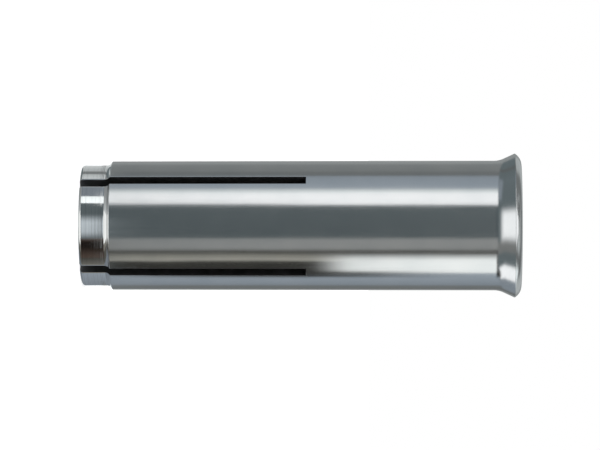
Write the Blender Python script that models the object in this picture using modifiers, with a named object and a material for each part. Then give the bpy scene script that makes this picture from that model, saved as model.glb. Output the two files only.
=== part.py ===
"""A drop-in anchor for an M10 bolt: a slotted steel sleeve, and the cone plug that spreads it.

Metres, +Z up. The anchor stands on its nose, with its threaded mouth at the top."""

import math

import bmesh
import bpy
from mathutils import Matrix, Vector

# Sleeve, outside
SLEEVE_LENGTH = 0.0400
SLEEVE_WALL = 0.00090  # outside the thread
BODY_TAPER = 0.000035  # on radius, from the lip down to the nose
NOSE_LENGTH = 0.00275
NOSE_STEP = 0.00037  # on radius
NOSE_SHOULDER_ANGLE = math.radians(65)  # from the axis
NOSE_FILLET = 0.00055
NOSE_EDGE_FILLET = 0.00027
SHOULDER_EDGE_FILLET = 0.00010

# Lip round the mouth, its sizes taken to the sharp corners before they are rounded
LIP_OVERHANG = 0.00068
LIP_EDGE_DROP = 0.00060  # from the mouth's face to the widest corner
LIP_BEVEL_WIDTH = 0.00044
LIP_FLARE_ANGLE = math.radians(24.8)  # from the axis
LIP_CROWN_FILLET = 0.00120
LIP_EDGE_FILLET = 0.00018
LIP_FOOT_FILLET = 0.00140

# Saw cuts that part the nose end into four fingers
SLOT_LENGTH = 0.0205
SLOT_WIDTH = 0.00087
SLOT_TURNS = (math.radians(45), math.radians(-45))
SAW_OVERRUN = 0.0010

# Sleeve, inside: M10 thread, plug chamber, closing taper, nose hole
THREAD_DIAMETER = 0.0100
THREAD_PITCH = 0.0015
THREAD_LENGTH = 0.0175
THREAD_FLANK_ANGLE = math.radians(30)
THREAD_ROOT_FLAT = THREAD_PITCH / 8
THREAD_RUNOUT = 2 * THREAD_PITCH  # the tap's lead, where the thread grows from nothing
THREAD_CREST_STEP = 0.00002  # on radius, from the bore in to the thread's crest
TAP_ALLOWANCE = 0.00013  # on radius, left inside the crest for the tap to clear
TAP_LEAD = 0.0006  # along the bore, where it narrows by the step and the allowance
TAP_OVERRUN = 0.0006
COUNTERSINK_MARGIN = 0.00020  # the countersink is wider than the thread by this, on radius
PLUG_RUN = 0.0040  # room ahead of the plug before the bore closes in
TAPER_CLOSING = 0.00125  # on radius
NOSE_HOLE_LENGTH = 0.0015
NOSE_HOLE_CHAMFER = 0.00030

# Expander plug
PLUG_GAP = 0.00030  # on radius
PLUG_SETBACK = 0.0015  # from the thread's inner end to the plug's rear face
PLUG_BARREL_LENGTH = 0.0050
PLUG_CONE_LENGTH = 0.0060
PLUG_REAR_FILLET = 0.00035
PLUG_SHOULDER_FILLET = 0.00080
PLUG_TIP_FILLET = 0.00025

# Facets
TURN_STEPS = 96
THREAD_STEPS = 32
ARC_STEP = math.radians(15)
SHARP_ANGLE = math.radians(35)

# Worked out from the sizes above
BODY_RADIUS = THREAD_DIAMETER / 2 + SLEEVE_WALL
SHOULDER_RADIUS = BODY_RADIUS - BODY_TAPER
NOSE_RADIUS = SHOULDER_RADIUS - NOSE_STEP
BORE_RADIUS = (THREAD_DIAMETER - THREAD_PITCH) / 2
CREST_RADIUS = BORE_RADIUS - THREAD_CREST_STEP
DRILLED_RADIUS = CREST_RADIUS - TAP_ALLOWANCE
THREAD_END_Z = SLEEVE_LENGTH - THREAD_LENGTH
COUNTERSINK_RADIUS = THREAD_DIAMETER / 2 + COUNTERSINK_MARGIN
NOSE_HOLE_RADIUS = BORE_RADIUS - TAPER_CLOSING
PLUG_REAR_Z = THREAD_END_Z - PLUG_SETBACK
TAPER_TOP_Z = PLUG_REAR_Z - PLUG_BARREL_LENGTH - PLUG_RUN


def clear_scene():
    for obj in list(bpy.data.objects):
        bpy.data.objects.remove(obj, do_unlink=True)


def new_collection(name):
    collection = bpy.data.collections.new(name)
    bpy.context.scene.collection.children.link(collection)
    return collection


def steel(name, colour, roughness):
    material = bpy.data.materials.new(name)
    material.use_nodes = True
    shader = material.node_tree.nodes["Principled BSDF"]
    shader.inputs["Base Color"].default_value = (*colour, 1.0)
    shader.inputs["Metallic"].default_value = 1.0
    shader.inputs["Roughness"].default_value = roughness
    material.diffuse_color = (*colour, 1.0)
    return material


def rounded(corners):
    """The outline through corners of (radius, height, fillet), with an arc at each filleted corner.

    Where two fillets don't fit on the side between them, both shrink until they do."""
    points = [Vector(corner[:2]) for corner in corners]
    count = len(points)
    sides = [points[(i + 1) % count] - points[i] for i in range(count)]
    turns = [sides[i - 1].angle_signed(sides[i]) for i in range(count)]
    reach = [corners[i][2] * math.tan(abs(turns[i]) / 2) for i in range(count)]
    fit = []
    for i in range(count):
        taken = reach[i] + reach[(i + 1) % count]
        fit.append(min(1.0, 0.95 * sides[i].length / taken) if taken else 1.0)

    outline = []
    for i in range(count):
        if not reach[i]:
            outline.append(points[i])
            continue
        cut = reach[i] * min(fit[i - 1], fit[i])
        start = points[i] - cut * sides[i - 1].normalized()
        # angle_signed counts clockwise turns as positive
        inward = sides[i - 1].orthogonal().normalized() * math.copysign(1, -turns[i])
        centre = start + inward * cut / math.tan(abs(turns[i]) / 2)
        steps = math.ceil(abs(turns[i]) / ARC_STEP)
        for step in range(steps + 1):
            swing = Matrix.Rotation(-turns[i] * step / steps, 2)
            outline.append(centre + swing @ (start - centre))
    return outline


def turned(name, outline, closed, material, collection):
    """The outline turned about the Z axis, with its hard edges kept sharp."""
    edges = [(i, i + 1) for i in range(len(outline) - 1)]
    if closed:
        edges.append((len(outline) - 1, 0))
    profile = bpy.data.meshes.new(name + "_profile")
    profile.from_pydata([(radius, 0, height) for radius, height in outline], edges, [])
    obj = bpy.data.objects.new(name, profile)
    collection.objects.link(obj)

    screw = obj.modifiers.new("Turn", "SCREW")
    screw.axis = "Z"
    screw.steps = TURN_STEPS
    screw.render_steps = TURN_STEPS
    screw.use_merge_vertices = True
    screw.merge_threshold = 1e-6

    graph = bpy.context.evaluated_depsgraph_get()
    obj.data = bpy.data.meshes.new_from_object(obj.evaluated_get(graph))
    obj.data.name = name
    obj.modifiers.clear()
    bpy.data.meshes.remove(profile)
    obj.data.shade_smooth()
    obj.data.set_sharp_from_angle(angle=SHARP_ANGLE)
    obj.data.materials.append(material)
    return obj


def sleeve_outline():
    """Down the outside from the mouth's face, round the nose, and up the inside to the countersink.

    Along the thread the bore is still a little under its size here, for the tap to open."""
    lip_radius = BODY_RADIUS + LIP_OVERHANG
    lip_z = SLEEVE_LENGTH - LIP_EDGE_DROP
    foot_z = lip_z - LIP_OVERHANG / math.tan(LIP_FLARE_ANGLE)
    fillet_z = NOSE_LENGTH - NOSE_STEP / math.tan(NOSE_SHOULDER_ANGLE)
    countersink_depth = COUNTERSINK_RADIUS - DRILLED_RADIUS
    return rounded([
        (COUNTERSINK_RADIUS, SLEEVE_LENGTH, 0),
        (lip_radius - LIP_BEVEL_WIDTH, SLEEVE_LENGTH, LIP_CROWN_FILLET),
        (lip_radius, lip_z, LIP_EDGE_FILLET),
        (BODY_RADIUS, foot_z, LIP_FOOT_FILLET),
        (SHOULDER_RADIUS, NOSE_LENGTH, SHOULDER_EDGE_FILLET),
        (NOSE_RADIUS, fillet_z, NOSE_FILLET),
        (NOSE_RADIUS, 0, NOSE_EDGE_FILLET),
        (NOSE_HOLE_RADIUS + NOSE_HOLE_CHAMFER, 0, 0),
        (NOSE_HOLE_RADIUS, NOSE_HOLE_CHAMFER, 0),
        (NOSE_HOLE_RADIUS, NOSE_HOLE_LENGTH, 0),
        (BORE_RADIUS, TAPER_TOP_Z, 0),
        (BORE_RADIUS, THREAD_END_Z, 0),
        (DRILLED_RADIUS, THREAD_END_Z + TAP_LEAD, 0),
        (DRILLED_RADIUS, SLEEVE_LENGTH - countersink_depth, 0),
    ])


def plug_outline():
    """Down the plug's side from the middle of its rear face, which is at height 0."""
    radius = BORE_RADIUS - PLUG_GAP
    length = PLUG_BARREL_LENGTH + PLUG_CONE_LENGTH
    return rounded([
        (0, 0, 0),
        (radius, 0, PLUG_REAR_FILLET),
        (radius, -PLUG_BARREL_LENGTH, PLUG_SHOULDER_FILLET),
        (NOSE_HOLE_RADIUS, -length, PLUG_TIP_FILLET),
        (0, -length, 0),
    ])


def cut_with(cutter, sleeve, collection):
    """Takes the cutter's shape out of the sleeve, and keeps the cutter as a hidden helper."""
    for holder in cutter.users_collection:
        holder.objects.unlink(cutter)
    collection.objects.link(cutter)
    cutter.hide_render = True
    cutter.display_type = "WIRE"

    cut = sleeve.modifiers.new(cutter.name, "BOOLEAN")
    cut.operation = "DIFFERENCE"
    cut.object = cutter


def saw_cut(sleeve, turn, collection):
    """One cut straight across the sleeve from its nose: it leaves two slots."""
    height = SLOT_LENGTH + SAW_OVERRUN
    middle = Vector((0, 0, SLOT_LENGTH - height / 2))
    bpy.ops.mesh.primitive_cube_add(size=1, location=middle, rotation=(0, 0, turn))
    cutter = bpy.context.object
    cutter.name = f"saw_{math.degrees(turn):.0f}"
    cutter.scale = (2 * BODY_RADIUS + 2 * SAW_OVERRUN, SLOT_WIDTH, height)
    bpy.ops.object.transform_apply(location=False, rotation=False, scale=True)
    cut_with(cutter, sleeve, collection)


def tooth_outline():
    """One pitch of the thread as (radius, height), from the start of one crest to the start of the next."""
    root_radius = THREAD_DIAMETER / 2
    flank = (root_radius - BORE_RADIUS) * math.tan(THREAD_FLANK_ANGLE)
    crest = THREAD_PITCH - THREAD_ROOT_FLAT - 2 * flank
    return [
        (CREST_RADIUS, -crest / 2),
        (CREST_RADIUS, crest / 2),
        (root_radius, crest / 2 + flank),
        (root_radius, crest / 2 + flank + THREAD_ROOT_FLAT),
        (CREST_RADIUS, THREAD_PITCH - crest / 2),
    ]


def spun_tap(collection):
    """The tooth turned into a right-hand screw surface, from height 0 up."""
    points = tooth_outline()
    profile = bpy.data.meshes.new("tap")
    edges = [(i, i + 1) for i in range(len(points) - 1)]
    profile.from_pydata([(radius, 0, height) for radius, height in points], edges, [])
    tap = bpy.data.objects.new("tap", profile)
    collection.objects.link(tap)

    screw = tap.modifiers.new("Thread", "SCREW")
    screw.axis = "Z"
    screw.screw_offset = THREAD_PITCH
    screw.iterations = math.ceil(THREAD_LENGTH / THREAD_PITCH) + 4
    screw.steps = THREAD_STEPS
    screw.render_steps = THREAD_STEPS

    graph = bpy.context.evaluated_depsgraph_get()
    tap.data = bpy.data.meshes.new_from_object(tap.evaluated_get(graph))
    tap.modifiers.clear()
    bpy.data.meshes.remove(profile)
    return tap


def thread_growth(z):
    """The share of its full depth that the thread has at this height."""
    return min(1.0, max(0.0, (z - THREAD_END_Z) / THREAD_RUNOUT))


def tap_thread(sleeve, collection):
    """Cuts the thread with a tap: a closed screw whose teeth grow along its lead."""
    tap = spun_tap(collection)
    mesh = bmesh.new()
    mesh.from_mesh(tap.data)
    # Turned on by half a facet of the bore, so that no corner of the one falls on a corner of the other
    half_facet = math.pi / TURN_STEPS
    rise = THREAD_PITCH * (half_facet / (2 * math.pi) - 2)
    start = Matrix.Translation((0, 0, THREAD_END_Z + rise))
    mesh.transform(start @ Matrix.Rotation(SLOT_TURNS[0] + half_facet, 4, "Z"))
    bmesh.ops.remove_doubles(mesh, verts=mesh.verts, dist=1e-6)
    for height, direction in ((THREAD_END_Z - TAP_OVERRUN, -1), (SLEEVE_LENGTH + TAP_OVERRUN, 1)):
        everything = mesh.verts[:] + mesh.edges[:] + mesh.faces[:]
        bmesh.ops.bisect_plane(
            mesh, geom=everything, plane_co=(0, 0, height), plane_no=(0, 0, direction), clear_outer=True
        )
    for vertex in mesh.verts:
        radius = vertex.co.xy.length
        if radius > CREST_RADIUS:
            depth = (radius - CREST_RADIUS) * thread_growth(vertex.co.z)
            vertex.co.xy *= (CREST_RADIUS + depth) / radius
    bmesh.ops.holes_fill(mesh, edges=mesh.edges)
    bmesh.ops.recalc_face_normals(mesh, faces=mesh.faces)
    mesh.to_mesh(tap.data)
    mesh.free()
    cut_with(tap, sleeve, collection)


def main():
    clear_scene()
    parts = new_collection("drop_in_anchor")
    cutters = new_collection("cutters")
    zinc = steel("zinc_plated_steel", (0.66, 0.68, 0.69), 0.28)
    plain = steel("plain_steel", (0.50, 0.50, 0.50), 0.35)

    sleeve = turned("sleeve", sleeve_outline(), True, zinc, parts)
    for turn in SLOT_TURNS:
        saw_cut(sleeve, turn, cutters)
    tap_thread(sleeve, cutters)
    plug = turned("expander_plug", plug_outline(), False, plain, parts)
    plug.location.z = PLUG_REAR_Z


main()
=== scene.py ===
"""The looks of the drop-in anchor: its plated sleeve with the cut thread, its cone plug, a white studio
and the photograph's camera. Metres, in the CAD model's frame: +Z runs from the nose to the mouth."""

import math

import bmesh
import bpy
import numpy as np
from mathutils import Matrix, Vector


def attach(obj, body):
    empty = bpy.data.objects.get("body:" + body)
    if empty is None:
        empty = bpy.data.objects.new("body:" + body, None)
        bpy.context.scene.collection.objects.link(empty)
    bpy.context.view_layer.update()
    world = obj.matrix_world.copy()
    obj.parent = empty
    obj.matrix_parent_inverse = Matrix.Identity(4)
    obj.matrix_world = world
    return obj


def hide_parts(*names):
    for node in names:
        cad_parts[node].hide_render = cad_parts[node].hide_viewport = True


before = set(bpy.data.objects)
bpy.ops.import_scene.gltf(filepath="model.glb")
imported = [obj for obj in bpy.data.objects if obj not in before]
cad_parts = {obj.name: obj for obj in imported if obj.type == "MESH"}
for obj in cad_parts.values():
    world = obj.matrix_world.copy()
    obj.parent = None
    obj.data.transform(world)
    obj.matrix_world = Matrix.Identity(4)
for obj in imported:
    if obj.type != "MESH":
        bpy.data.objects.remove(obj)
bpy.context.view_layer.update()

# Sizes of the sleeve and the plug, the same as in the CAD model
SLEEVE_LENGTH = 0.0400
SLEEVE_WALL = 0.00090
BODY_TAPER = 0.000035
NOSE_LENGTH = 0.00275
NOSE_STEP = 0.00037
NOSE_EDGE_FILLET = 0.00027
SHOULDER_EDGE_FILLET = 0.00010
LIP_EDGE_DROP = 0.00060
LIP_BEVEL_WIDTH = 0.00044
LIP_FLARE_ANGLE = math.radians(24.8)
LIP_CROWN_FILLET = 0.00120
SLOTS = 4
SLOT_LENGTH = 0.0205
SLOT_WIDTH = 0.00087
FIRST_SLOT = math.radians(45)
THREAD_DIAMETER = 0.0100
THREAD_PITCH = 0.0015
THREAD_LENGTH = 0.0175
THREAD_FLANK_ANGLE = math.radians(30)
THREAD_ROOT_FLAT = THREAD_PITCH / 8
THREAD_RUNOUT = 2 * THREAD_PITCH  # the tap's lead, where the thread grows from nothing
COUNTERSINK_MARGIN = 0.00020
PLUG_RUN = 0.0040
TAPER_CLOSING = 0.00125
NOSE_HOLE_LENGTH = 0.0015
NOSE_HOLE_CHAMFER = 0.00030
PLUG_GAP = 0.00030
PLUG_SETBACK = 0.0015
PLUG_BARREL_LENGTH = 0.0050
PLUG_CONE_LENGTH = 0.0060
PLUG_REAR_FILLET = 0.00035
PLUG_SHOULDER_FILLET = 0.00080
PLUG_TIP_FILLET = 0.00025

# Sizes that differ a little from the CAD model's, because the photograph's highlights ask for them
NOSE_SHOULDER_ANGLE = math.radians(56)
NOSE_FILLET = 0.00062
LIP_OVERHANG = 0.000664
LIP_EDGE_FILLET = 0.00008
LIP_FOOT_FILLET = 0.00200

# Fine forms that the CAD model leaves out
SLOT_EDGE_BREAK = 0.000015
INNER_EDGE_FILLET = 0.00008
TAPER_TOP_FILLET = 0.00080
THREAD_FILLET = 0.00008

# Worked out from the sizes above
BODY_RADIUS = THREAD_DIAMETER / 2 + SLEEVE_WALL
SHOULDER_RADIUS = BODY_RADIUS - BODY_TAPER
NOSE_RADIUS = SHOULDER_RADIUS - NOSE_STEP
BORE_RADIUS = (THREAD_DIAMETER - THREAD_PITCH) / 2
COUNTERSINK_RADIUS = THREAD_DIAMETER / 2 + COUNTERSINK_MARGIN
NOSE_HOLE_RADIUS = BORE_RADIUS - TAPER_CLOSING
PLUG_REAR_Z = SLEEVE_LENGTH - THREAD_LENGTH - PLUG_SETBACK
TAPER_TOP_Z = PLUG_REAR_Z - PLUG_BARREL_LENGTH - PLUG_RUN
LIP_FOOT_Z = SLEEVE_LENGTH - LIP_EDGE_DROP - LIP_OVERHANG / math.tan(LIP_FLARE_ANGLE)

# How the meshes are made
FINGER_COLUMNS = 48
SLOT_COLUMNS = 4
ARC_STEP = math.radians(7.5)
THREAD_ARC_STEP = math.radians(30)
PLUG_STEPS = 160
SHARP_ANGLE = math.radians(32)
BEVEL_SEGMENTS = 2
FILLET_SHARE = 0.95  # the most of a side that the fillets at its two ends may take
SAME_HEIGHT = 1e-6  # heights that differ by less are the same
SAME_POINT = 1e-8  # and points of the sleeve that lie closer are joined
PLUG_MERGE = 1e-6  # likewise for the plug's points on its axis

# The photograph's camera
PHOTO_WIDTH = 600
PIXEL = 0.00009124  # metres a pixel spans at the axis
CAMERA_DISTANCE = 0.3567
CAMERA_AIM_X = -0.000048
CAMERA_AIM_Z = 0.01984
CAMERA_AZIMUTH = math.radians(-0.76)
CAMERA_ELEVATION = math.radians(1.75)
SENSOR_WIDTH = 36.0
CAMERA_NEAREST = 0.01
CAMERA_FARTHEST = 10


def rounded(corners, arc_step=ARC_STEP):
    """The outline through corners of (radius, height, fillet), with an arc at each filleted corner.

    Where two fillets don't fit on the side between them, both shrink until they do."""
    points = [Vector(corner[:2]) for corner in corners]
    count = len(points)
    sides = [points[(i + 1) % count] - points[i] for i in range(count)]
    turns = [sides[i - 1].angle_signed(sides[i]) for i in range(count)]
    reach = [corners[i][2] * math.tan(abs(turns[i]) / 2) for i in range(count)]
    fit = []
    for i in range(count):
        taken = reach[i] + reach[(i + 1) % count]
        fit.append(min(1.0, FILLET_SHARE * sides[i].length / taken) if taken else 1.0)

    outline = []
    for i in range(count):
        if not reach[i]:
            outline.append(points[i])
            continue
        cut = reach[i] * min(fit[i - 1], fit[i])
        start = points[i] - cut * sides[i - 1].normalized()
        # angle_signed counts clockwise turns as positive
        inward = sides[i - 1].orthogonal().normalized() * math.copysign(1, -turns[i])
        centre = start + inward * cut / math.tan(abs(turns[i]) / 2)
        steps = math.ceil(abs(turns[i]) / arc_step)
        for step in range(steps + 1):
            swing = Matrix.Rotation(-turns[i] * step / steps, 2)
            outline.append(centre + swing @ (start - centre))
    return outline


def new_object(name, data):
    obj = bpy.data.objects.new(name, data)
    bpy.context.scene.collection.objects.link(obj)
    return obj


def applied(obj):
    """The object with its modifiers turned into mesh, its hard edges marked and its wide faces true."""
    graph = bpy.context.evaluated_depsgraph_get()
    mesh = bpy.data.meshes.new_from_object(obj.evaluated_get(graph))
    obj.modifiers.clear()
    obj.data = mesh
    mesh.shade_smooth()
    mesh.set_sharp_from_angle(angle=SHARP_ANGLE)
    normals = obj.modifiers.new("Weighted normals", "WEIGHTED_NORMAL")
    normals.keep_sharp = True
    return obj


# Sleeve

# The places of the sleeve's materials in its list
OUTSIDE, TURNED, BORE, SAWN = range(4)


def outside_outline():
    """Down the outside, from the mouth's inner edge round the nose to the nose hole's edge."""
    lip_radius = BODY_RADIUS + LIP_OVERHANG
    fillet_z = NOSE_LENGTH - NOSE_STEP / math.tan(NOSE_SHOULDER_ANGLE)
    slot_radius = BODY_RADIUS - BODY_TAPER * (LIP_FOOT_Z - SLOT_LENGTH) / (LIP_FOOT_Z - NOSE_LENGTH)
    return rounded([
        (THREAD_DIAMETER / 2, SLEEVE_LENGTH - COUNTERSINK_MARGIN, 0),
        (COUNTERSINK_RADIUS, SLEEVE_LENGTH, INNER_EDGE_FILLET),
        (lip_radius - LIP_BEVEL_WIDTH, SLEEVE_LENGTH, LIP_CROWN_FILLET),
        (lip_radius, SLEEVE_LENGTH - LIP_EDGE_DROP, LIP_EDGE_FILLET),
        (BODY_RADIUS, LIP_FOOT_Z, LIP_FOOT_FILLET),
        (slot_radius, SLOT_LENGTH, 0),
        (SHOULDER_RADIUS, NOSE_LENGTH, SHOULDER_EDGE_FILLET),
        (NOSE_RADIUS, fillet_z, NOSE_FILLET),
        (NOSE_RADIUS, 0, NOSE_EDGE_FILLET),
        (NOSE_HOLE_RADIUS + NOSE_HOLE_CHAMFER, 0, INNER_EDGE_FILLET),
        (NOSE_HOLE_RADIUS, NOSE_HOLE_CHAMFER, INNER_EDGE_FILLET),
        (NOSE_HOLE_RADIUS, NOSE_HOLE_LENGTH, 0),
    ])


def inside_outline():
    """Up the bore, from the taper's narrow end to the inner end of the thread."""
    taper = rounded([
        (NOSE_HOLE_RADIUS, NOSE_HOLE_LENGTH, 0),
        (BORE_RADIUS, TAPER_TOP_Z, TAPER_TOP_FILLET),
        (BORE_RADIUS, SLOT_LENGTH, 0),
        (BORE_RADIUS, SLEEVE_LENGTH - THREAD_LENGTH, 0),
    ])
    return taper[1:]


def column_angles(radius):
    """The angles of the mesh's columns at this radius. The slots' walls stay parallel, so they take more
    of a small ring than of a wide one."""
    half_slot = math.asin(SLOT_WIDTH / 2 / radius)
    quarter = 2 * math.pi / SLOTS
    across_slot = np.arange(SLOT_COLUMNS) / SLOT_COLUMNS * 2 * half_slot - half_slot
    finger = quarter - 2 * half_slot
    across_finger = half_slot + np.arange(FINGER_COLUMNS) / FINGER_COLUMNS * finger
    one = np.concatenate([across_slot, across_finger])
    return np.concatenate([FIRST_SLOT + k * quarter + one for k in range(SLOTS)])


def ring(mesh, radius, z):
    return [
        mesh.verts.new((radius * math.cos(angle), radius * math.sin(angle), z))
        for angle in column_angles(radius)
    ]


def thread_tooth():
    """One pitch of the thread as (depth, height) points, from the middle of one crest to the next."""
    depth = THREAD_DIAMETER / 2 - BORE_RADIUS
    flank = depth * math.tan(THREAD_FLANK_ANGLE)
    crest = THREAD_PITCH - THREAD_ROOT_FLAT - 2 * flank
    return rounded([
        (0, 0, 0),
        (0, crest / 2, THREAD_FILLET),
        (depth, crest / 2 + flank, THREAD_FILLET),
        (depth, crest / 2 + flank + THREAD_ROOT_FLAT, THREAD_FILLET),
        (0, THREAD_PITCH - crest / 2, THREAD_FILLET),
        (0, THREAD_PITCH, 0),
    ], THREAD_ARC_STEP)[:-1]


def thread_rows(mesh, bottom_ring, top_ring, tooth):
    """Rows that climb one pitch a turn, held between the heights of the two rings."""
    bottom, top = bottom_ring[0].co.z, top_ring[0].co.z
    angles = column_angles(BORE_RADIUS) - FIRST_SLOT
    turns = math.ceil((top - bottom) / THREAD_PITCH) + 1
    rows = []
    for turn in range(-1, turns):
        for depth, height in tooth:
            row = []
            for column, angle in enumerate(angles):
                z = bottom + THREAD_PITCH * (turn + angle / (2 * math.pi)) + height
                if z <= bottom:
                    row.append(bottom_ring[column])
                    continue
                if z >= top:
                    row.append(top_ring[column])
                    continue
                grown = min(1.0, (z - bottom) / THREAD_RUNOUT)
                countersink = THREAD_DIAMETER / 2 - (top - z)
                radius = max(BORE_RADIUS + depth * grown, countersink)
                turned = angle + FIRST_SLOT
                row.append(mesh.verts.new((radius * math.cos(turned), radius * math.sin(turned), z)))
            rows.append(row)
    return rows


def add_thread(mesh, bottom_ring, top_ring):
    """The right-hand thread between two rings. Where rows meet a ring, a face there loses corners."""
    tooth = thread_tooth()
    rows = thread_rows(mesh, bottom_ring, top_ring, tooth)
    columns = len(bottom_ring)
    for i in range(len(rows) - 1):
        for j in range(columns):
            pitch_up = i + len(tooth)
            if j + 1 < columns:
                corners = [rows[i][j], rows[i][j + 1], rows[i + 1][j + 1], rows[i + 1][j]]
            elif pitch_up + 1 < len(rows):
                # After a full turn each row meets the one that started a pitch higher
                corners = [rows[i][j], rows[pitch_up][0], rows[pitch_up + 1][0], rows[i + 1][j]]
            else:
                continue
            corners = list(dict.fromkeys(corners))
            if len(corners) > 2:
                face = mesh.faces.new(reversed(corners))
                face.material_index = BORE


def finish_at(z):
    """Which material the outside wears at this height: the nose and the mouth's face are turned."""
    return TURNED if z < NOSE_LENGTH or z > SLEEVE_LENGTH - SAME_HEIGHT else OUTSIDE


def is_slot_column(column):
    return column % (SLOT_COLUMNS + FINGER_COLUMNS) < SLOT_COLUMNS


def add_skin(mesh, outline, rings, materials):
    """Faces between each ring and the next, left out where a slot is cut."""
    count = len(rings[0])
    for i in range(len(rings) - 1):
        in_slots = max(outline[i][1], outline[i + 1][1]) <= SLOT_LENGTH + SAME_HEIGHT
        for j in range(count):
            if in_slots and is_slot_column(j):
                continue
            k = (j + 1) % count
            face = mesh.faces.new([rings[i][j], rings[i + 1][j], rings[i + 1][k], rings[i][k]])
            face.material_index = materials[i]


def add_slot_walls(mesh, outline, rings):
    """The sawn walls of the four slots, and the flat end that the saw leaves in each."""
    cut = [loop for point, loop in zip(outline, rings) if point[1] <= SLOT_LENGTH + SAME_HEIGHT]
    outer, inner = cut[0], cut[-1]
    step = SLOT_COLUMNS + FINGER_COLUMNS
    for slot in range(SLOTS):
        low = slot * step
        high = low + SLOT_COLUMNS
        for wall in ([loop[low] for loop in cut], [loop[high] for loop in reversed(cut)]):
            mesh.faces.new(wall).material_index = SAWN
        for j in range(low, high):
            face = mesh.faces.new([outer[j], outer[j + 1], inner[j + 1], inner[j]])
            face.material_index = SAWN


def break_edges(mesh):
    """Marks the slots' outer and inner edges for a fine bevel."""
    weight = mesh.edges.layers.float.new("bevel_weight_edge")
    for edge in mesh.edges:
        faces = edge.link_faces
        if len(faces) == 2 and edge.is_convex:
            sawn = [face.material_index == SAWN for face in faces]
            edge[weight] = 1.0 if sum(sawn) == 1 else 0.0


def make_sleeve(materials):
    mesh = bmesh.new()
    outside = outside_outline()
    inside = inside_outline()
    outline = outside + inside
    rings = [ring(mesh, radius, z) for radius, z in outline]
    finishes = [finish_at(z) for _, z in outside[1:]] + [BORE] * len(inside)
    add_skin(mesh, outline, rings, finishes)
    add_slot_walls(mesh, outline, rings)
    add_thread(mesh, rings[-1], rings[0])
    bmesh.ops.remove_doubles(mesh, verts=mesh.verts, dist=SAME_POINT)
    bmesh.ops.recalc_face_normals(mesh, faces=mesh.faces)
    break_edges(mesh)
    data = bpy.data.meshes.new("sleeve_look")
    mesh.to_mesh(data)
    mesh.free()
    sleeve = new_object("sleeve_look", data)
    for material in materials:
        data.materials.append(material)
    bevel = sleeve.modifiers.new("Edge break", "BEVEL")
    bevel.limit_method = "WEIGHT"
    bevel.width = SLOT_EDGE_BREAK
    bevel.segments = BEVEL_SEGMENTS
    return applied(sleeve)


# Plug


def make_plug(material):
    radius = BORE_RADIUS - PLUG_GAP
    length = PLUG_BARREL_LENGTH + PLUG_CONE_LENGTH
    outline = rounded([
        (0, 0, 0),
        (radius, 0, PLUG_REAR_FILLET),
        (radius, -PLUG_BARREL_LENGTH, PLUG_SHOULDER_FILLET),
        (NOSE_HOLE_RADIUS, -length, PLUG_TIP_FILLET),
        (0, -length, 0),
    ])
    profile = bpy.data.meshes.new("expander_plug_look")
    points = [(r, 0, z + PLUG_REAR_Z) for r, z in outline]
    profile.from_pydata(points, [(i, i + 1) for i in range(len(points) - 1)], [])
    plug = new_object("expander_plug_look", profile)
    screw = plug.modifiers.new("Turn", "SCREW")
    screw.axis = "Z"
    screw.steps = PLUG_STEPS
    screw.render_steps = PLUG_STEPS
    screw.use_merge_vertices = True
    screw.merge_threshold = PLUG_MERGE
    applied(plug)
    plug.data.materials.append(material)
    return plug


# Materials

TOOL_PITCH = 0.00013  # the spacing of the turning marks on the nose
TOOL_HEIGHT = 0.5  # and their height beside that of the finer marks
NOISE_LOW = 0.25  # nearly all values of a noise lie between these
NOISE_HIGH = 0.75
MIX_FIRST, MIX_SECOND = 6, 7  # the colour inputs of a Mix node
MIX_COLOUR = 2  # and its colour output


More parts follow.
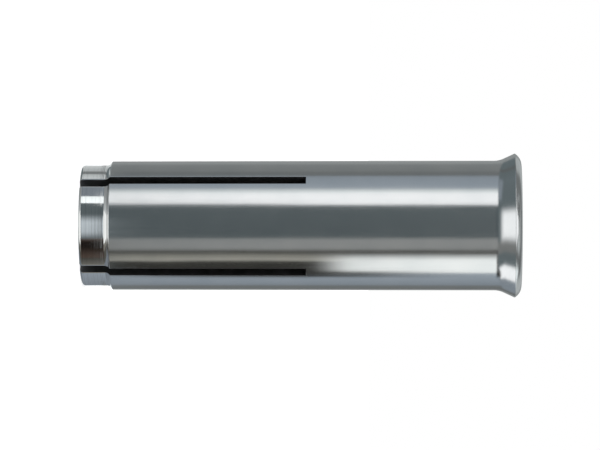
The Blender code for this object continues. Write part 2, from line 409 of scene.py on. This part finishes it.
class Nodes:
    """A short way to add nodes to one material."""

    def __init__(self, name):
        self.material = bpy.data.materials.new(name)
        self.material.use_nodes = True
        self.tree = self.material.node_tree
        self.shader = self.tree.nodes["Principled BSDF"]

    def add(self, kind, **settings):
        node = self.tree.nodes.new(kind)
        for name, value in settings.items():
            setattr(node, name, value)
        return node

    def link(self, source, target):
        self.tree.links.new(source, target)

    def math(self, operation, *values):
        node = self.add("ShaderNodeMath", operation=operation)
        for socket, value in zip(node.inputs, values):
            if isinstance(value, bpy.types.NodeSocket):
                self.link(value, socket)
            else:
                socket.default_value = value
        return node.outputs[0]

    def place(self):
        return self.add("ShaderNodeTexCoord").outputs["Object"]

    def stretched(self, place, scale):
        node = self.add("ShaderNodeMapping")
        node.inputs["Scale"].default_value = scale
        self.link(place, node.inputs["Vector"])
        return node.outputs[0]

    def noise(self, vector, scale, detail=2.0):
        node = self.add("ShaderNodeTexNoise")
        node.inputs["Scale"].default_value = scale
        node.inputs["Detail"].default_value = detail
        self.link(vector, node.inputs["Vector"])
        return node.outputs["Fac"]

    def rings(self, place, scale, detail=3.0):
        """Noise that changes along the axis and with the radius, but not round the axis: turning marks."""
        split = self.add("ShaderNodeSeparateXYZ")
        self.link(place, split.inputs[0])
        flat = self.add("ShaderNodeCombineXYZ")
        self.link(split.outputs["X"], flat.inputs["X"])
        self.link(split.outputs["Y"], flat.inputs["Y"])
        length = self.add("ShaderNodeVectorMath", operation="LENGTH")
        self.link(flat.outputs[0], length.inputs[0])
        along = self.math("ADD", split.outputs["Z"], length.outputs["Value"])
        node = self.add("ShaderNodeTexNoise", noise_dimensions="1D")
        node.inputs["Scale"].default_value = scale
        node.inputs["Detail"].default_value = detail
        self.link(along, node.inputs["W"])
        return node.outputs["Fac"]

    def grooves(self, place, pitch):
        """The even marks of a turning tool: a wave along the axis."""
        split = self.add("ShaderNodeSeparateXYZ")
        self.link(place, split.inputs[0])
        wave = self.math("SINE", self.math("MULTIPLY", split.outputs["Z"], 2 * math.pi / pitch))
        return self.math("MULTIPLY", wave, TOOL_HEIGHT)

    def between(self, factor, low, high):
        """A value or a colour that runs from low to high as a noise runs over its usual values."""
        node = self.add("ShaderNodeMapRange")
        node.inputs["From Min"].default_value = NOISE_LOW
        node.inputs["From Max"].default_value = NOISE_HIGH
        self.link(factor, node.inputs["Value"])
        if isinstance(low, tuple):
            mix = self.add("ShaderNodeMix", data_type="RGBA")
            self.link(node.outputs[0], mix.inputs["Factor"])
            mix.inputs[MIX_FIRST].default_value = (*low, 1)
            mix.inputs[MIX_SECOND].default_value = (*high, 1)
            return mix.outputs[MIX_COLOUR]
        node.inputs["To Min"].default_value = low
        node.inputs["To Max"].default_value = high
        return node.outputs[0]

    def bump(self, height, distance, strength=1.0, normal=None):
        node = self.add("ShaderNodeBump")
        node.inputs["Distance"].default_value = distance
        node.inputs["Strength"].default_value = strength
        self.link(height, node.inputs["Height"])
        if normal is not None:
            self.link(normal, node.inputs["Normal"])
        return node.outputs[0]

    def finish(self, colour, roughness, normal):
        self.shader.inputs["Metallic"].default_value = 1.0
        self.link(colour, self.shader.inputs["Base Color"])
        self.link(roughness, self.shader.inputs["Roughness"])
        self.link(normal, self.shader.inputs["Normal"])
        return self.material


def zinc_body():
    """Bright zinc over drawn tube: nearly smooth, with faint lines along it and a cloud in the tone."""
    n = Nodes("zinc_body")
    place = n.place()
    cloud = n.noise(place, scale=350, detail=3)
    drawn = n.noise(n.stretched(place, (1, 1, 0.02)), scale=9000)
    grain = n.noise(place, scale=20000)
    colour = n.between(cloud, (0.64, 0.66, 0.67), (0.70, 0.71, 0.715))
    roughness = n.between(drawn, 0.15, 0.20)
    fine = n.bump(grain, distance=0.0000004)
    normal = n.bump(drawn, distance=0.000001, strength=0.5, normal=fine)
    return n.finish(colour, roughness, normal)


def zinc_turned():
    """Zinc over a lathe-cut face: sharper, with the tool's fine marks round the axis."""
    n = Nodes("zinc_turned")
    place = n.place()
    rings = n.rings(place, scale=9000, detail=1)
    colour = n.between(rings, (0.63, 0.635, 0.64), (0.74, 0.745, 0.75))
    roughness = n.between(n.noise(place, scale=500, detail=3), 0.07, 0.11)
    marks = n.math("ADD", n.grooves(place, TOOL_PITCH), rings)
    normal = n.bump(marks, distance=0.0000009)
    return n.finish(colour, roughness, normal)


def zinc_bore():
    """The thread and the bore: cut steel with a thinner coat in the depths."""
    n = Nodes("zinc_bore")
    place = n.place()
    rings = n.rings(place, scale=9000)
    coat = n.noise(place, scale=600, detail=3)
    colour = n.between(coat, (0.36, 0.36, 0.36), (0.50, 0.50, 0.495))
    roughness = n.between(rings, 0.22, 0.34)
    normal = n.bump(rings, distance=0.000002)
    return n.finish(colour, roughness, normal)


def sawn_steel():
    """The slots' walls: dull, with saw lines straight across."""
    n = Nodes("sawn_steel")
    place = n.place()
    lines = n.noise(n.stretched(place, (0.05, 0.05, 1)), scale=12000, detail=3)
    cloud = n.noise(place, scale=900, detail=3)
    colour = n.between(cloud, (0.16, 0.16, 0.165), (0.25, 0.25, 0.255))
    roughness = n.between(lines, 0.32, 0.48)
    normal = n.bump(lines, distance=0.000003)
    return n.finish(colour, roughness, normal)


def plain_steel():
    """The plug: cut from bar, unplated and a little warm in tone."""
    n = Nodes("plain_steel_look")
    place = n.place()
    rings = n.rings(place, scale=9000)
    cloud = n.noise(place, scale=800, detail=4)
    colour = n.between(cloud, (0.36, 0.35, 0.34), (0.50, 0.49, 0.475))
    roughness = n.between(rings, 0.26, 0.40)
    normal = n.bump(rings, distance=0.000003)
    return n.finish(colour, roughness, normal)


# Studio

ROOM_SEEN = 1.0  # the world's strength to the camera and in reflections
ROOM_LIGHT = 0.75  # and to everything that it lights
FLOOR_RADIUS = 2.0
FLOOR_SIDES = 128
FLOOR_GREY = 0.80
FLOOR_ROUGHNESS = 0.9
FLOOR_GLOW = 0.55  # lifts the floor to white, and its shadow stays
LAMP_SIZE = 0.35
LAMP_POWER = 0.8
LAMP_PLACE = (-0.08, -0.18, 0.42)
LAMP_AIM = (0, 0, 0.02)


def ray_value(tree, camera_value, other_value):
    """camera_value to camera, glossy and transmission rays, and other_value to the rest."""
    path = tree.nodes.new("ShaderNodeLightPath")
    seen = path.outputs["Is Camera Ray"]
    for kind in ("Is Glossy Ray", "Is Transmission Ray"):
        both = tree.nodes.new("ShaderNodeMath")
        both.operation = "MAXIMUM"
        tree.links.new(seen, both.inputs[0])
        tree.links.new(path.outputs[kind], both.inputs[1])
        seen = both.outputs[0]
    mix = tree.nodes.new("ShaderNodeMapRange")
    mix.inputs["To Min"].default_value = other_value
    mix.inputs["To Max"].default_value = camera_value
    tree.links.new(seen, mix.inputs["Value"])
    return mix.outputs[0]


def make_world():
    world = bpy.data.worlds.new("white_room")
    world.use_nodes = True
    tree = world.node_tree
    background = tree.nodes["Background"]
    background.inputs["Color"].default_value = (1, 1, 1, 1)
    tree.links.new(ray_value(tree, ROOM_SEEN, ROOM_LIGHT), background.inputs["Strength"])
    bpy.context.scene.world = world


def make_floor():
    bpy.ops.mesh.primitive_circle_add(vertices=FLOOR_SIDES, radius=FLOOR_RADIUS, fill_type="NGON")
    floor = bpy.context.object
    floor.name = "floor"
    material = bpy.data.materials.new("floor_white")
    material.use_nodes = True
    tree = material.node_tree
    shader = tree.nodes["Principled BSDF"]
    shader.inputs["Base Color"].default_value = (FLOOR_GREY, FLOOR_GREY, FLOOR_GREY, 1)
    shader.inputs["Roughness"].default_value = FLOOR_ROUGHNESS
    shader.inputs["Specular IOR Level"].default_value = 0.0
    shader.inputs["Emission Color"].default_value = (1, 1, 1, 1)
    tree.links.new(ray_value(tree, FLOOR_GLOW, 0.0), shader.inputs["Emission Strength"])
    floor.data.materials.append(material)
    floor.visible_glossy = False


# How far the cards stand from the anchor's middle: a nearer card hides a farther one
CARD_CENTRE_Z = 0.020
CARD_DISTANCE = 0.30
FARTHEST = 1.1 * CARD_DISTANCE
BEHIND = 1.05 * CARD_DISTANCE
BEFORE = 0.99 * CARD_DISTANCE
FOREMOST = 0.98 * CARD_DISTANCE
NEAR = 0.0366
BEFORE_NEAR = 0.98 * NEAR
FOREMOST_NEAR = 0.96 * NEAR
FLAG_DISTANCE = 0.0200
LOW_FLAG_DISTANCE = 0.0356
UPPER_FLAG_DISTANCE = 0.085
SIDE_FLAG_DISTANCE = 0.120
CARD_STEP = 2.0  # degrees between the points of a card
FLAG_EDGE_STRENGTH = (0.48, 0.20)

# Spans in degrees: round the axis, and above or below the level
ALL_ROUND = (-156, 204)
BODY_RISE = (-9.5, 16)
STRIP_RISE = (-2.4, 16)
NOSE_RISE = (-46, -34.4)
RIM_RISE = (-51, -46)
BOWL_RISE = (-90, -46)

# Tints of the cards
COOL = (0.88, 1.00, 1.12)
TEAL = (0.83, 1.00, 1.05)
PLAIN = (0.95, 1.00, 1.00)
WHITE = (1.00, 1.00, 1.00)
PALE = (0.91, 1.00, 1.05)
NEUTRAL = (0.98, 1.00, 0.98)
WARM = (1.03, 1.00, 0.88)
BROWN = (1.40, 1.00, 0.80)


def card_material(name, tint):
    material = bpy.data.materials.new(name)
    material.use_nodes = True
    tree = material.node_tree
    tree.nodes.clear()
    out = tree.nodes.new("ShaderNodeOutputMaterial")
    mix = tree.nodes.new("ShaderNodeMixShader")
    clear = tree.nodes.new("ShaderNodeBsdfTransparent")
    glow = tree.nodes.new("ShaderNodeEmission")
    glow.inputs["Color"].default_value = (*tint, 1)
    for attribute, socket in (("strength", glow.inputs["Strength"]), ("cover", mix.inputs["Fac"])):
        node = tree.nodes.new("ShaderNodeAttribute")
        node.attribute_name = attribute
        tree.links.new(node.outputs["Fac"], socket)
    tree.links.new(clear.outputs[0], mix.inputs[1])
    tree.links.new(glow.outputs[0], mix.inputs[2])
    tree.links.new(mix.outputs[0], out.inputs["Surface"])
    return material


def fade(distance, soft):
    """0 at an edge of a card and 1 from soft degrees inside it."""
    share = min(1.0, distance / soft) if soft else 1.0
    return share * share * (3 - 2 * share)


def card(name, across, rise, strength, tint=PLAIN, distance=CARD_DISTANCE, soft=(0, 0), lean=0):
    """A glowing card that only reflections see, curved round the middle of the anchor.

    across is its span round the axis in degrees, from the camera's side towards -X, and rise its span
    above the level. strength is its brightness at the two ends of across. soft is how far its ends and
    its top and bottom fade, and lean how far its top leans over towards the second end of across."""
    columns = math.ceil((across[1] - across[0]) / CARD_STEP)
    rows = math.ceil((rise[1] - rise[0]) / CARD_STEP)
    vertices, strengths, covers = [], [], []
    for i in range(columns + 1):
        for j in range(rows + 1):
            along, up = i / columns, j / rows
            turn = math.radians(across[0] + (across[1] - across[0]) * along + lean * up)
            lift = math.radians(rise[0] + (rise[1] - rise[0]) * up)
            out = distance * math.cos(lift)
            height = CARD_CENTRE_Z + distance * math.sin(lift)
            vertices.append((-out * math.sin(turn), -out * math.cos(turn), height))
            strengths.append(strength[0] + (strength[1] - strength[0]) * along)
            side = min(along, 1 - along) * (across[1] - across[0])
            end = min(up, 1 - up) * (rise[1] - rise[0])
            covers.append(fade(side, soft[0]) * fade(end, soft[1]))
    faces = []
    for i in range(columns):
        for j in range(rows):
            corner = i * (rows + 1) + j
            faces.append((corner, corner + rows + 1, corner + rows + 2, corner + 1))
    mesh = bpy.data.meshes.new(name)
    mesh.from_pydata(vertices, [], faces)
    for attribute, values in (("strength", strengths), ("cover", covers)):
        mesh.attributes.new(attribute, "FLOAT", "POINT").data.foreach_set("value", values)
    mesh.materials.append(card_material(name, tint))
    obj = new_object(name, mesh)
    obj.visible_camera = False
    obj.visible_diffuse = False
    obj.visible_shadow = False


def make_body_cards():
    """What the drawn body mirrors: two white strips between grey walls, and a dark side at the camera."""
    card("body_front", (-21.7, 37.3), BODY_RISE, (0.121, 0.136), TEAL)
    card("body_front_low", (-21.7, 37.3), (-9.5, -6.9), (0.094, 0.105), TEAL, BEFORE)
    card("body_warm", (-43, -21.7), BODY_RISE, (0.34, 0.34), NEUTRAL)
    card("body_dip", (-51, -43), BODY_RISE, (0.07, 0.07), WARM)
    card("strip_lower_edge", (-62.5, -51), STRIP_RISE, (1.24, 0.31), NEUTRAL)
    card("strip_lower", (-92.3, -62.5), STRIP_RISE, (1.27, 1.30), NEUTRAL)
    card("strip_lower_foot", (-92.3, -51), (-9.6, -2.4), (0.20, 0.20), NEUTRAL)
    card("body_low_side", (-132.5, -92.3), BODY_RISE, (0.31, 0.47), COOL)
    card("body_low_back", (-156, -132.5), BODY_RISE, (0.17, 0.23))
    card("strip_upper", (37.3, 60), BODY_RISE, (1.28, 1.30), WHITE)
    card("strip_upper_edge", (60, 69), BODY_RISE, (1.22, 0.62))
    card("body_side", (69, 99), BODY_RISE, (0.43, 0.36), COOL)
    card("body_shade", (99, 112), BODY_RISE, (0.19, 0.21))
    card("body_back", (112, 142), BODY_RISE, (0.25, 0.28))
    card("body_far", (142, 204), BODY_RISE, (0.35, 0.33))


def soft_flag(name, across, edge_end, rise, strength, distance, soft=(0, 0), lean=0):
    """A dark flag, and beside it an edge up to edge_end where its tone runs off."""
    card(name, across, rise, (strength, strength), WARM, distance, soft, lean)
    edge = (across[1], edge_end)
    card(name + "_edge", edge, rise, FLAG_EDGE_STRENGTH, WARM, distance, soft, lean)


def make_flags():
    """Flags near the anchor that hide the white strips, or part of them, from its slotted half."""
    soft_flag("flag", (-82, -53.4), -41.3, (-50, 14.2), 0.035, FLAG_DISTANCE, (0, 12.5), -3.6)
    soft_flag("flag_low", (-89, -59.3), -46.3, (-33.5, -16.6), 0.03, LOW_FLAG_DISTANCE, lean=-0.9)
    card("flag_upper", (32, 39.6), (-17.5, -3), (0.14, 0.14), TEAL, UPPER_FLAG_DISTANCE, soft=(3, 0))
    card("flag_side", (-104.5, -84), (-14, 7.5), (0.03, 0.03), WARM, SIDE_FLAG_DISTANCE, soft=(5, 7.5))


def make_nose_cards():
    """Nearer and lower cards that the turned nose mirrors."""
    card("nose_far", (118.5, 204), NOSE_RISE, (0.53, 1.08), PLAIN, NEAR)
    card("nose_shade", (108.5, 118.5), NOSE_RISE, (0.27, 0.25), PLAIN, NEAR)
    card("nose_edge", (89, 108.5), NOSE_RISE, (0.87, 0.58), PLAIN, NEAR)
    card("nose_side", (53.3, 89), NOSE_RISE, (0.28, 0.28), COOL, NEAR)
    card("nose_strip", (40.3, 53.3), NOSE_RISE, (1.55, 1.32), PLAIN, NEAR)
    card("nose_gap", (-22, 40.3), NOSE_RISE, (0.10, 0.165), TEAL, NEAR)
    card("nose_front", (-26, 22), NOSE_RISE, (0.57, 0.79), PALE, BEFORE_NEAR, soft=(18, 0.5))
    card("nose_dim", (-28, -22), NOSE_RISE, (0.012, 0.070), BROWN, NEAR)
    card("nose_black", (-38, -28), NOSE_RISE, (0.010, 0.010), BROWN, NEAR)
    card("nose_dark", (-58, -38), NOSE_RISE, (0.072, 0.012), BROWN, NEAR)
    card("nose_low", (-88, -58), NOSE_RISE, (0.30, 0.06), WARM, NEAR)
    card("nose_low_side", (-156, -88), NOSE_RISE, (0.24, 0.42), COOL, NEAR)


def make_bowl_cards():
    """Under the nose: what the fillet at its shoulder and the rounding of its end mirror."""
    card("bowl_front", (-33, 28), BOWL_RISE, (1.25, 1.20), NEUTRAL, NEAR)
    card("bowl_upper", (28, 62), BOWL_RISE, (0.68, 0.40), PLAIN, NEAR)
    card("bowl_side", (62, 110), BOWL_RISE, (0.36, 0.30), PLAIN, NEAR)
    card("bowl_low", (-47, -33), BOWL_RISE, (0.24, 0.26), WARM, NEAR)
    card("bowl_dark", (-72, -47), BOWL_RISE, (0.12, 0.10), WARM, NEAR)
    card("bowl_low_side", (-156, -72), BOWL_RISE, (0.30, 0.26), COOL, NEAR)
    card("bowl_bottom", (-60, 50), (-90, -74), (0.95, 0.95), NEUTRAL, FOREMOST_NEAR, soft=(20, 0))
    card("bowl_upper_rim", (19, 42), RIM_RISE, (0.22, 0.22), COOL, BEFORE_NEAR)
    card("bowl_low_rim", (-42, -21), RIM_RISE, (0.22, 0.22), WARM, BEFORE_NEAR)


def make_lip_cards():
    """What the flare mirrors from below, the shoulder from below and behind, and the rim from above."""
    card("lip_front", (-30, 46), (-75, -16), (1.34, 1.34), WHITE, soft=(18, 28), lean=-10)
    card("lip_warm", (-52, -28), (-60, -9.6), (0.24, 0.24), NEUTRAL, BEHIND)
    card("lip_low", (-112.3, -77.3), (-52, -11.5), (1.36, 1.36), WHITE, soft=(4, 3))
    card("lip_shade", (112, 120), (-40, -9.6), (0.15, 0.15))
    card("foot_upper", (45, 95), (-28, -9.6), (0.31, 0.31), COOL, soft=(6, 3))
    card("lip_low_side", (-156, -111), (-44, -8), (0.32, 0.32), COOL)
    card("lip_surround", ALL_ROUND, (-90, -8), (0.18, 0.19), TEAL, FARTHEST)
    card("shoulder_back", (148, 214), (-84, -24), (0.95, 0.95), PLAIN, soft=(16, 12))
    card("crown_front", (-42, 45), (14, 62), (1.40, 1.40), WHITE, soft=(12, 0))
    card("crown_high", (-51, 52), (59, 85.5), (1.27, 1.27), WHITE, soft=(12, 5))
    card("crown_dark", (44, 150), (68, 88), (0.14, 0.16), PLAIN, FOREMOST, soft=(8, 4))
    card("crown_low", (-128, -77), (14, 58), (1.20, 1.20), PLAIN, BEFORE, soft=(8, 8))
    card("crown_spot", (-125, -68), (68, 90), (0.80, 0.72), PLAIN, FOREMOST, soft=(25, 6))
    card("crown_back", (118, 248), (14, 50), (0.50, 0.54), PLAIN, soft=(14, 10))
    card("crown_surround", ALL_ROUND, (14, 66), (0.17, 0.22), PLAIN, FARTHEST)
    card("crown_top", ALL_ROUND, (66, 90), (0.40, 0.40), PLAIN, FARTHEST)


def make_cards():
    make_body_cards()
    make_flags()
    make_nose_cards()
    make_bowl_cards()
    make_lip_cards()


def make_lamp():
    lamp = bpy.data.lights.new("overhead", "AREA")
    lamp.shape = "DISK"
    lamp.size = LAMP_SIZE
    lamp.energy = LAMP_POWER
    obj = new_object("overhead", lamp)
    obj.location = LAMP_PLACE
    direction = Vector(LAMP_AIM) - obj.location
    obj.rotation_euler = direction.to_track_quat("-Z", "Y").to_euler()


def make_camera():
    """The photograph's view: the anchor lies across the picture, mouth to the right, so the camera lies on
    its side with its right along +Z."""
    aim = Vector((CAMERA_AIM_X, 0, CAMERA_AIM_Z))
    back = Vector((
        math.sin(CAMERA_AZIMUTH) * math.cos(CAMERA_ELEVATION),
        -math.cos(CAMERA_AZIMUTH) * math.cos(CAMERA_ELEVATION),
        math.sin(CAMERA_ELEVATION),
    ))
    right = (Vector((0, 0, 1)) - back * back.z).normalized()
    up = back.cross(right)
    data = bpy.data.cameras.new("camera")
    data.sensor_width = SENSOR_WIDTH
    data.lens = SENSOR_WIDTH * CAMERA_DISTANCE / PIXEL / PHOTO_WIDTH
    data.clip_start = CAMERA_NEAREST
    data.clip_end = CAMERA_FARTHEST
    camera = new_object("camera", data)
    turn = Matrix((right, up, back)).transposed().to_4x4()
    camera.matrix_world = Matrix.Translation(aim + back * CAMERA_DISTANCE) @ turn
    bpy.context.scene.camera = camera


def main():
    make_camera()
    bpy.context.scene.view_settings.view_transform = "Standard"
    sleeve = make_sleeve([zinc_body(), zinc_turned(), zinc_bore(), sawn_steel()])
    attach(sleeve, "anchor_body")
    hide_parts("sleeve")
    plug = make_plug(plain_steel())
    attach(plug, "plug")
    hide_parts("expander_plug")
    make_world()
    make_floor()
    make_cards()
    make_lamp()


main()
